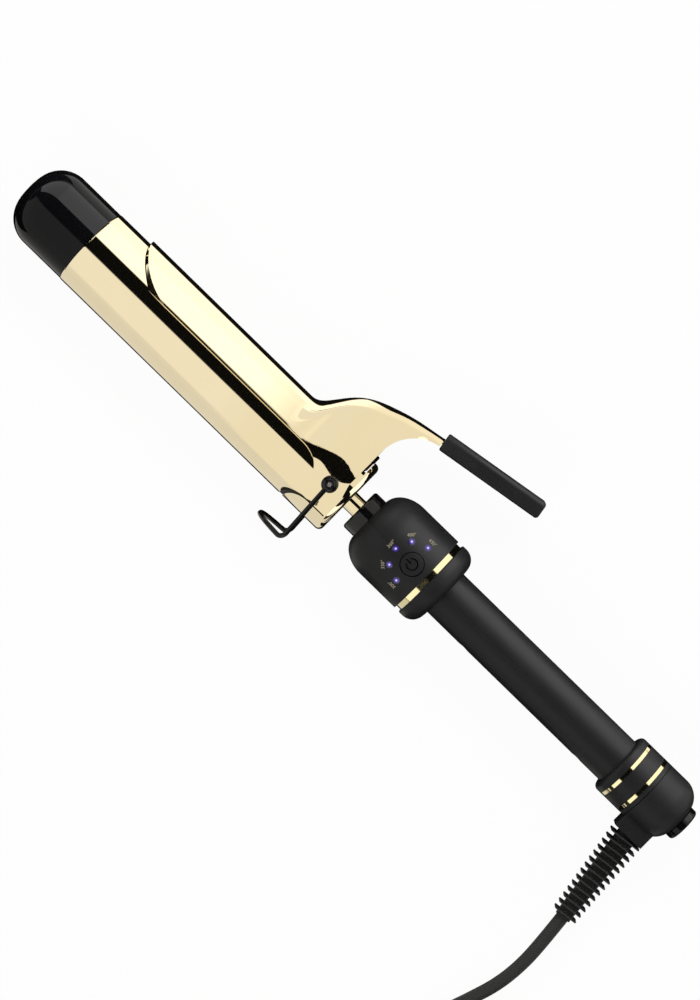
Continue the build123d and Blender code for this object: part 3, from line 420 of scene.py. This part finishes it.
noiseSpan = (0.3, 0.7)  # the part of a noise's values that carries nearly all of it
polish = {"cloud": 60.0, "lines": (2600, 60, 60), "depth": 0.00002}
moulding = {"cloud": 45.0, "seamColour": (0.0008, 0.0008, 0.0008, 1), "seamBump": 0.6, "seamDepth": 0.0001}


def unevenRoughness(tree, shader, noise, limits):
    rough = addNode(tree, "MapRange", i0=noise.outputs["Fac"], i1=noiseSpan[0], i2=noiseSpan[1],
                    i3=limits[0], i4=limits[1])
    tree.links.new(rough.outputs[0], shader.inputs["Roughness"])


def goldFinish(name, settings):
    # polished metal: a faint unevenness of polish and fine lines round the tube
    material, tree, shader = newMaterial(name)
    shader.inputs["Metallic"].default_value = 1.0
    place = objectPoint(tree)
    cloud = addNode(tree, "TexNoise", Vector=place, Scale=polish["cloud"], Detail=3.0)
    tone = addNode(tree, "MixRGB", i0=cloud.outputs["Fac"], i1=(*settings["deep"], 1),
                   i2=(*settings["pale"], 1))
    tree.links.new(tone.outputs[0], shader.inputs["Base Color"])
    lines = addNode(tree, "Mapping", Vector=place)
    lines.inputs["Scale"].default_value = polish["lines"]
    wear = addNode(tree, "TexNoise", Vector=lines.outputs[0], Scale=1.0, Detail=2.0)
    unevenRoughness(tree, shader, wear, settings["rough"])
    bump = addNode(tree, "Bump", Strength=settings["bump"], Distance=polish["depth"],
                   Height=wear.outputs["Fac"])
    tree.links.new(bump.outputs[0], shader.inputs["Normal"])
    return material


def seamDark(tree, place, width):
    # 1 on the parting line of the moulded halves, where they meet in the iron's middle plane
    across = addNode(tree, "SeparateXYZ", i0=place)
    return span(tree, across.outputs["Y"], mouth.y - width / 2, mouth.y + width / 2, width / 4)


def plasticFinish(name, settings):
    # moulded plastic: colour, fine grain as bump, and a little unevenness of gloss
    material, tree, shader = newMaterial(name)
    place = objectPoint(tree)
    cloud = addNode(tree, "TexNoise", Vector=place, Scale=moulding["cloud"], Detail=4.0)
    tone = addNode(tree, "MixRGB", i0=cloud.outputs["Fac"], i1=(*settings["dark"], 1),
                   i2=(*settings["light"], 1))
    colour = tone.outputs[0]
    unevenRoughness(tree, shader, cloud, settings["rough"])
    grain = addNode(tree, "TexNoise", Vector=place, Scale=settings["grain"], Detail=2.0)
    bump = addNode(tree, "Bump", Strength=settings["bump"], Distance=settings["depth"],
                   Height=grain.outputs["Fac"])
    if "seam" in settings:
        seam = seamDark(tree, place, settings["seam"])
        colour = addNode(tree, "MixRGB", i0=seam, i1=colour, i2=moulding["seamColour"]).outputs[0]
        bump = addNode(tree, "Bump", {"invert": True}, Strength=moulding["seamBump"],
                       Distance=moulding["seamDepth"], Height=seam, Normal=bump.outputs[0])
    tree.links.new(colour, shader.inputs["Base Color"])
    tree.links.new(bump.outputs[0], shader.inputs["Normal"])
    shader.inputs["IOR"].default_value = settings.get("ior", 1.45)
    return material


glossBlack = {"dark": (0.0015, 0.0015, 0.0018), "light": (0.003, 0.003, 0.0035), "rough": (0.03, 0.06),
              "grain": 900.0, "bump": 0.02, "depth": 0.00002, "ior": 1.25}
satinBlack = {"dark": (0.0075, 0.0075, 0.008), "light": (0.011, 0.011, 0.0115), "rough": (0.40, 0.47),
              "grain": 5200.0, "bump": 0.3, "depth": 0.00004, "ior": 1.26}
finishes = {
    "gold": goldFinish("paleGold", {"deep": (0.885, 0.775, 0.52), "pale": (0.91, 0.81, 0.575),
                                    "rough": (0.035, 0.06), "bump": 0.03}),
    "gold_trim": goldFinish("trimGold", {"deep": (0.75, 0.67, 0.38), "pale": (0.81, 0.73, 0.44),
                                         "rough": (0.06, 0.10), "bump": 0.05}),
    "black_gloss": plasticFinish("glossBlack", glossBlack),
    "collar": plasticFinish("collarGloss", {**glossBlack, "rough": (0.04, 0.08), "ior": 1.42}),
    "black_soft": plasticFinish("satinBlack", satinBlack),
    "black_rubber": plasticFinish("matteRubber", {"dark": (0.014, 0.014, 0.014),
                                                  "light": (0.021, 0.021, 0.021),
                                                  "rough": (0.5, 0.6), "grain": 3500.0, "bump": 0.3,
                                                  "depth": 0.00005, "ior": 1.35}),
    "black_metal": plasticFinish("blackenedMetal", {"dark": (0.004, 0.004, 0.0045),
                                                    "light": (0.007, 0.007, 0.0075),
                                                    "rough": (0.08, 0.14), "grain": 2400.0,
                                                    "bump": 0.05, "depth": 0.00003, "ior": 1.36}),
    "brass": goldFinish("threadBrass", {"deep": (0.50, 0.29, 0.09), "pale": (0.62, 0.40, 0.16),
                                        "rough": (0.16, 0.24), "bump": 0.1}),
    "steel": goldFinish("plainSteel", {"deep": (0.52, 0.52, 0.53), "pale": (0.60, 0.60, 0.61),
                                       "rough": (0.24, 0.34), "bump": 0.1}),
    "aluminium": goldFinish("extrudedAluminium", {"deep": (0.70, 0.70, 0.71), "pale": (0.78, 0.78, 0.79),
                                                  "rough": (0.28, 0.38), "bump": 0.15}),
    "ceramic": plasticFinish("firedCeramic", {"dark": (0.72, 0.70, 0.66), "light": (0.80, 0.78, 0.74),
                                              "rough": (0.45, 0.6), "grain": 1800.0, "bump": 0.2,
                                              "depth": 0.00005}),
    "board": plasticFinish("greenBoard", {"dark": (0.01, 0.10, 0.04), "light": (0.02, 0.14, 0.06),
                                          "rough": (0.25, 0.35), "grain": 1500.0, "bump": 0.1,
                                          "depth": 0.00003}),
    "contact": goldFinish("plainBrass", {"deep": (0.72, 0.55, 0.26), "pale": (0.80, 0.63, 0.33),
                                         "rough": (0.18, 0.28), "bump": 0.1}),
}


lensLook = {"base": (0.10, 0.10, 0.55, 1), "deep": (0.16, 0.14, 0.95, 1), "pale": (0.30, 0.28, 1.0, 1),
            "rough": 0.15, "cloud": 900.0, "glow": 0.9}


def lensFinish(look):
    # lit light pipe, with a slightly uneven glow
    material, tree, shader = newMaterial("litLens")
    shader.inputs["Base Color"].default_value = look["base"]
    shader.inputs["Roughness"].default_value = look["rough"]
    cloud = addNode(tree, "TexNoise", Vector=objectPoint(tree), Scale=look["cloud"])
    glow = addNode(tree, "MixRGB", i0=cloud.outputs["Fac"], i1=look["deep"], i2=look["pale"])
    tree.links.new(glow.outputs[0], shader.inputs["Emission Color"])
    shader.inputs["Emission Strength"].default_value = look["glow"]
    return material


finishes["lens"] = lensFinish(lensLook)
finishes["shell"] = plasticFinish("satinShell", {**satinBlack, "seam": 0.00026})

slotOf = {part["node"]: part["material_slot"] for part in frame["record"]["subparts"]}
ownFinish = {"housing_clip_side": "shell", "housing_stand_side": "shell", "nose_ring": "collar"}


def dressNodes():
    # every node in its slot's finish, apart from those that have one of their own
    for name, node in nodes.items():
        node.data.materials.clear()
        node.data.materials.append(finishes[ownFinish.get(name, slotOf[name])])


dressNodes()
mainsCord.data.materials.append(finishes["black_rubber"])
print("finishes on every node")


def nodeBody(name):
    for body, names in frame["record"]["behaviour"]["bodies"].items():
        if name in names:
            return body
    return "iron"


def makePiece(name, points, faces, body, materials, picks=None, smooth=True):
    # a mesh piece; picks gives each face's material by number where there are several
    mesh = bpy.data.meshes.new(name)
    mesh.from_pydata([tuple(point) for point in points], [], faces)
    for material in materials:
        mesh.materials.append(material)
    for number, polygon in enumerate(mesh.polygons):
        polygon.use_smooth = smooth
        polygon.material_index = picks[number] if picks else 0
    shape = bmesh.new()
    shape.from_mesh(mesh)
    bmesh.ops.recalc_face_normals(shape, faces=shape.faces)
    shape.to_mesh(mesh)
    shape.free()
    piece = bpy.data.objects.new(name, mesh)
    scene.collection.objects.link(piece)
    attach(piece, body)
    return piece


def ringFaces(rings, sides, first=0, capLow=True):
    # faces of a turned shape from its rings of points
    faces = []
    for ring in range(rings - 1):
        for side in range(sides):
            here = first + ring * sides + side
            beside = first + ring * sides + (side + 1) % sides
            faces.append((here, beside, beside + sides, here + sides))
    if capLow:
        faces.append(tuple(first + side for side in reversed(range(sides))))
    faces.append(tuple(first + (rings - 1) * sides + side for side in range(sides)))
    return faces


# controls: the places of the lights follow from the box of their lenses and the button's
lensLow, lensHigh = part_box("led_lenses")
buttonLow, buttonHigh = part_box("power_button")
controls = {
    "button": Vector(((buttonLow.x + buttonHigh.x) / 2, mouth.y, 0)),
    "ring": 2 * (lensHigh.y - mouth.y) - (lensHigh.x - lensLow.x),
    "headRadius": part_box("housing_clip_side")[1].y - mouth.y,
    "buttonRadius": buttonHigh.z - mouth.z,
    "lights": 5,
    "glowRadius": 0.00155,
    "glowLift": 0.00004,
    "glowRise": (0.3, 1.7),  # the rim's share of the lift, and what the middle adds to it
    "glowRings": 9,
    "glowSides": 32,
    "glowBase": (0.012, 0.010, 0.03, 1),
    "glowRough": 0.12,
    # colour of the glow by the share of its radius
    "glowColours": ((0.10, (0.95, 0.93, 1.0)), (0.24, (0.50, 0.42, 1.0)), (0.36, (0.09, 0.05, 0.42)),
                    (0.72, (0.035, 0.018, 0.20)), (0.90, (0.012, 0.008, 0.05)), (1.0, (0.0, 0.0, 0.0))),
    "labelRing": 0.0125,
    "labels": ("300", "330", "360", "400", "430"),
    "labelHeight": 0.0015,
    "labelLift": 0.00003,
    "digitShare": 0.72,  # height of the font's digits as a share of its size
    "labelColours": ((0.34, 0.30, 0.20, 1), (0.52, 0.47, 0.32, 1)),
    "labelSpeck": 9000.0,
    "labelRough": 0.45,
    "markRadius": 0.0027,
    "markStroke": 0.0005,
    "markLift": 0.00012,
    "markFoot": -0.00005,  # the sign's lower side, just inside the button
    "markSweep": 290,
    "markSteps": 32,
    "markBar": (-0.0005, -0.0018, -0.0034),
}


def lightAngle(number):
    return math.pi * (number / (controls["lights"] - 1) - 0.5)


def onTop(radius, x, y):
    # a point on the upper side of a round of this radius about the iron's axis
    return Vector((x, y, mouth.z + math.sqrt(radius ** 2 - (y - mouth.y) ** 2)))


def glowFinish(c):
    # lit lens: white in the middle, violet round it, dark at the rim
    material, tree, shader = newMaterial("violetGlow")
    shader.inputs["Base Color"].default_value = c["glowBase"]
    shader.inputs["Roughness"].default_value = c["glowRough"]
    reach = addNode(tree, "VectorMath", {"operation": "LENGTH"}, i0=objectPoint(tree))
    share = addNode(tree, "MapRange", i0=reach.outputs["Value"], i2=c["glowRadius"])
    colour = addRamp(tree, share.outputs[0], c["glowColours"])
    tree.links.new(colour, shader.inputs["Emission Color"])
    shader.inputs["Emission Strength"].default_value = 1.0
    return material


def makeGlows(c):
    # a low dome of light over each lens
    finish = glowFinish(c)
    rings, sides = c["glowRings"], c["glowSides"]
    low, more = c["glowRise"]
    for number in range(c["lights"]):
        angle = lightAngle(number)
        x = c["button"].x - c["ring"] * math.cos(angle)
        y = c["button"].y + c["ring"] * math.sin(angle)
        centre = onTop(c["headRadius"], x, y)
        points = []
        for ring in range(rings + 1):
            radius = c["glowRadius"] * (1 - ring / (rings + 1))
            lift = c["glowLift"] * (low + more * (1 - (1 - ring / rings) ** 2))
            for side in range(sides):
                turn = 2 * math.pi * side / sides
                place = onTop(c["headRadius"] + lift, x + radius * math.cos(turn),
                              y + radius * math.sin(turn))
                points.append(place - centre)
        glow = makePiece(f"ledGlow{number + 1}", points, ringFaces(rings + 1, sides, capLow=False),
                         "iron", [finish])
        glow.location = centre


def labelMesh(text, height):
    # outline of a printed number, as a thin mesh lying flat
    curve = bpy.data.curves.new("label", "FONT")
    curve.body = text
    curve.size = height / controls["digitShare"]
    curve.align_x = "CENTER"
    curve.align_y = "CENTER"
    curve.extrude = controls["labelLift"] / 2
    curve.resolution_u = 3
    holder = bpy.data.objects.new("label", curve)
    scene.collection.objects.link(holder)
    mesh = bpy.data.meshes.new_from_object(holder.evaluated_get(bpy.context.evaluated_depsgraph_get()))
    bpy.data.objects.remove(holder)
    return mesh


def makeLabels(c):
    # temperatures round the lights, each with its head outwards, printed on the curved shell
    material, tree, shader = newMaterial("printedGold")
    speck = addNode(tree, "TexNoise", Vector=objectPoint(tree), Scale=c["labelSpeck"])
    tone = addNode(tree, "MixRGB", i0=speck.outputs["Fac"], i1=c["labelColours"][0], i2=c["labelColours"][1])
    tree.links.new(tone.outputs[0], shader.inputs["Base Color"])
    shader.inputs["Roughness"].default_value = c["labelRough"]
    for number, text in enumerate(c["labels"]):
        angle = lightAngle(number)
        up = Vector((-math.cos(angle), math.sin(angle), 0))
        right = Vector((up.y, -up.x, 0))
        centre = c["button"] + up * c["labelRing"]
        mesh = labelMesh(text + "\u00b0", c["labelHeight"])
        for vertex in mesh.vertices:
            flat = centre + right * vertex.co.x + up * vertex.co.y
            vertex.co = onTop(c["headRadius"] + (c["labelLift"] / 2 + vertex.co.z), flat.x, flat.y)
        mesh.materials.clear()
        mesh.materials.append(material)
        label = bpy.data.objects.new(f"temperatureLabel{number + 1}", mesh)
        scene.collection.objects.link(label)
        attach(label, "iron")


def makePowerMark(c):
    # raised power sign on the button: an open ring with a bar through its gap
    outer, inner = c["markRadius"], c["markRadius"] - c["markStroke"]
    arc = []
    for step in range(c["markSteps"] + 1):
        turn = math.radians(-c["markSweep"] / 2 + c["markSweep"] * step / c["markSteps"])
        arc.append([(radius * math.cos(turn), radius * math.sin(turn)) for radius in (outer, inner)])
    half = c["markStroke"] / 2
    bar = [((x, half), (x, -half)) for x in c["markBar"]]
    points, faces = [], []
    for stroke in (arc, bar):
        first = len(points)
        for left, right in stroke:
            for (x, y), lift in ((left, c["markFoot"]), (left, c["markLift"]),
                                 (right, c["markLift"]), (right, c["markFoot"])):
                points.append(onTop(c["buttonRadius"] + lift, c["button"].x + x, c["button"].y + y))
        faces += ringFaces(len(stroke), 4, first)
    makePiece("powerMark", points, faces, "power_button", [finishes["black_gloss"]],
              smooth=False)


makeGlows(controls)
makeLabels(controls)
makePowerMark(controls)
print("controls made")


# stop screw in the barrel's notch: knurled head, plated thread, pointed foot
stopLow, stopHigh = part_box("stop_screw")
stopScrew = {
    "foot": stopLow.y,
    "cone": 0.0024,
    "thread": 0.0034,
    "threadRadius": 0.0019,
    "threadDepth": 0.00026,
    "threadSteps": 54,
    "footShare": 0.5,  # radius of the foot's point as a share of the thread's
    "turns": 4.5,
    "headRadius": (stopHigh.x - stopLow.x) / 2,
    "round": 0.0004,
    "knurls": 18,
    "knurlDepth": 0.00012,
    "sides": 72,
}


def makeStopScrew(s):
    centre = Vector(((stopLow.x + stopHigh.x) / 2, 0, (stopLow.z + stopHigh.z) / 2))
    threadFoot = s["foot"] + s["cone"]
    headFoot = threadFoot + s["thread"]
    # height, radius and kind of each ring of points
    rows = [(s["foot"], s["threadRadius"] * s["footShare"], "plain"),
            (threadFoot, s["threadRadius"], "plain")]
    for step in range(s["threadSteps"] + 1):
        rows.append((threadFoot + s["thread"] * step / s["threadSteps"], s["threadRadius"], "thread"))
    rows.append((headFoot, s["headRadius"] - s["round"] / 2, "plain"))
    rows.append((headFoot + s["round"] / 2, s["headRadius"], "knurl"))
    rows.append((stopHigh.y - s["round"], s["headRadius"], "knurl"))
    rows.append((stopHigh.y, s["headRadius"] - s["round"], "plain"))
    points, picks = [], []
    for height, radius, kind in rows:
        for side in range(s["sides"]):
            turn = 2 * math.pi * side / s["sides"]
            reach = radius
            if kind == "thread":
                phase = (s["turns"] * (height - threadFoot) / s["thread"] - side / s["sides"]) % 1
                reach -= s["threadDepth"] * abs(2 * phase - 1)
            if kind == "knurl":
                reach -= s["knurlDepth"] * (0.5 + 0.5 * math.cos(turn * s["knurls"]))
            points.append(centre + Vector((reach * math.sin(turn), height, reach * math.cos(turn))))
    faces = ringFaces(len(rows), s["sides"])
    for face in faces[:-2]:
        ring = min(face) // s["sides"]
        picks.append(1 if rows[ring][2] == "thread" and rows[ring + 1][2] == "thread" else 0)
    picks += [0, 0]
    screw = makePiece("stopScrew", points, faces, "iron",
                      [finishes["black_metal"], finishes["brass"]], picks, smooth=False)
    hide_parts("stop_screw")


makeStopScrew(stopScrew)


# painted shade: a thin dark sheet in the slit between the barrel and the cover in its underside, in place of
# the shade in the gap; where a value is a pair, it is for the sheet's outer edge and its inner one
tubeLow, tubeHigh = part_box("barrel_tube")
slitShade = {
    "radius": 0.0187,
    "thick": 0.0005,
    "corner": (0.012, 0.0099),
    "front": (0.0245, 0.0224),
    "rise": (0.00735, 0.00675),
    "back": 0.0034,
    "from": 3,
    "to": 90,
    "steps": 26,
}


def makeSlitShade(g):
    barrelRadius = (tubeHigh.z - tubeLow.z) / 2
    path = []
    for way in (1, -1):
        run = []
        for step in range(g["steps"] + 1):
            turn = math.radians(g["from"] + (g["to"] - g["from"]) * step / g["steps"])
            pair = []
            for corner, front, rise in zip(g["corner"], g["front"], g["rise"]):
                pair.append((corner - front - corner * math.cos(turn),
                             rise * math.sin(turn) - barrelRadius))
            run.append((pair, way))
        run.append(([(-g["back"], rise - barrelRadius) for rise in g["rise"]], way))
        path += run[::-1] if way == 1 else run
    points = []
    for (outer, inner), way in path:
        for (x, y), depth in ((outer, 0), (outer, g["thick"]), (inner, g["thick"]), (inner, 0)):
            radius = g["radius"] - depth
            rise = math.sqrt(max(radius ** 2 - y ** 2, 0))
            points.append(Vector((mouth.x + x, mouth.y + y, mouth.z + way * rise)))
    # painted shade: the dark sheet that stands for the gap's shade
    makePiece("slitShadeSheet", points, ringFaces(len(path), 4), "iron",
              [finishes["black_rubber"]], smooth=False)


makeSlitShade(slitShade)


# pivot screws: shank, round head and a six-sided socket
screwLow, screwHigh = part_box("pivot_screws")
pivotScrew = {
    "headRadius": (screwHigh.x - screwLow.x) / 2,
    "headHeight": 0.00105,
    "crown": 0.000675,  # radius of the head's rounded edge
    "crownSteps": 6,
    "shankRadius": 0.00142,
    "shank": 0.0075,
    "socket": 0.00115,
    "socketSides": 6,
    "socketRim": (1.08, 0.00008),  # share of the socket's size at its rim, and the bevel's depth
    "socketFloor": (0.92, 0.0006),  # share of it at the floor, and the floor's depth
    "sides": 48,
}


def makePivotScrews(s):
    centre = (screwLow + screwHigh) / 2
    half = (screwHigh.z - screwLow.z) / 2
    crown = s["crown"]
    # from the shank's end out over the head: radius, depth below the top, in the socket or not
    rows = [(s["shankRadius"], s["headHeight"] + s["shank"], False),
            (s["shankRadius"], s["headHeight"], False),
            (s["headRadius"], s["headHeight"], False), (s["headRadius"], crown, False)]
    for step in range(1, s["crownSteps"] + 1):
        turn = math.radians(90 * step / s["crownSteps"])
        rows.append((s["headRadius"] - crown * (1 - math.cos(turn)), crown * (1 - math.sin(turn)), False))
    wide, bevel = s["socketRim"]
    narrow, depth = s["socketFloor"]
    rows += [(s["socket"] * wide, 0, True), (s["socket"], bevel, True), (s["socket"] * narrow, depth, True)]
    halfSide = math.pi / s["socketSides"]
    points, faces, picks = [], [], []
    for way in (1, -1):
        first = len(points)
        for radius, drop, inSocket in rows:
            for side in range(s["sides"]):
                turn = 2 * math.pi * side / s["sides"]
                corner = (turn + halfSide) % (2 * halfSide) - halfSide
                reach = radius * (math.cos(halfSide) / math.cos(corner) if inSocket else 1)
                points.append(Vector((centre.x + reach * math.cos(turn),
                                      centre.y + way * reach * math.sin(turn),
                                      centre.z + way * (half - drop))))
        faces += ringFaces(len(rows), s["sides"], first)
        # bare steel at the socket's floor only, which is the last face
        picks += [0] * (len(faces) - len(picks) - 1) + [1]
    screws = makePiece("pivotScrews", points, faces, nodeBody("pivot_screws"),
                       [finishes["black_metal"], finishes["steel"]], picks)
    for polygon in screws.data.polygons:
        polygon.use_smooth = len(polygon.vertices) == 4
    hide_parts("pivot_screws")


makePivotScrews(pivotScrew)
print("small pieces made")

satinPieces = [node for name, node in nodes.items() if slotOf[name] in ("black_soft", "black_rubber")]
glossPieces = [node for name, node in nodes.items() if slotOf[name] == "black_gloss"]
makeSoftbox("satinBox", studio["satinBox"], satinPieces + [mainsCord])
makeSoftbox("glossBox", studio["glossBox"], glossPieces)
print("softboxes made")
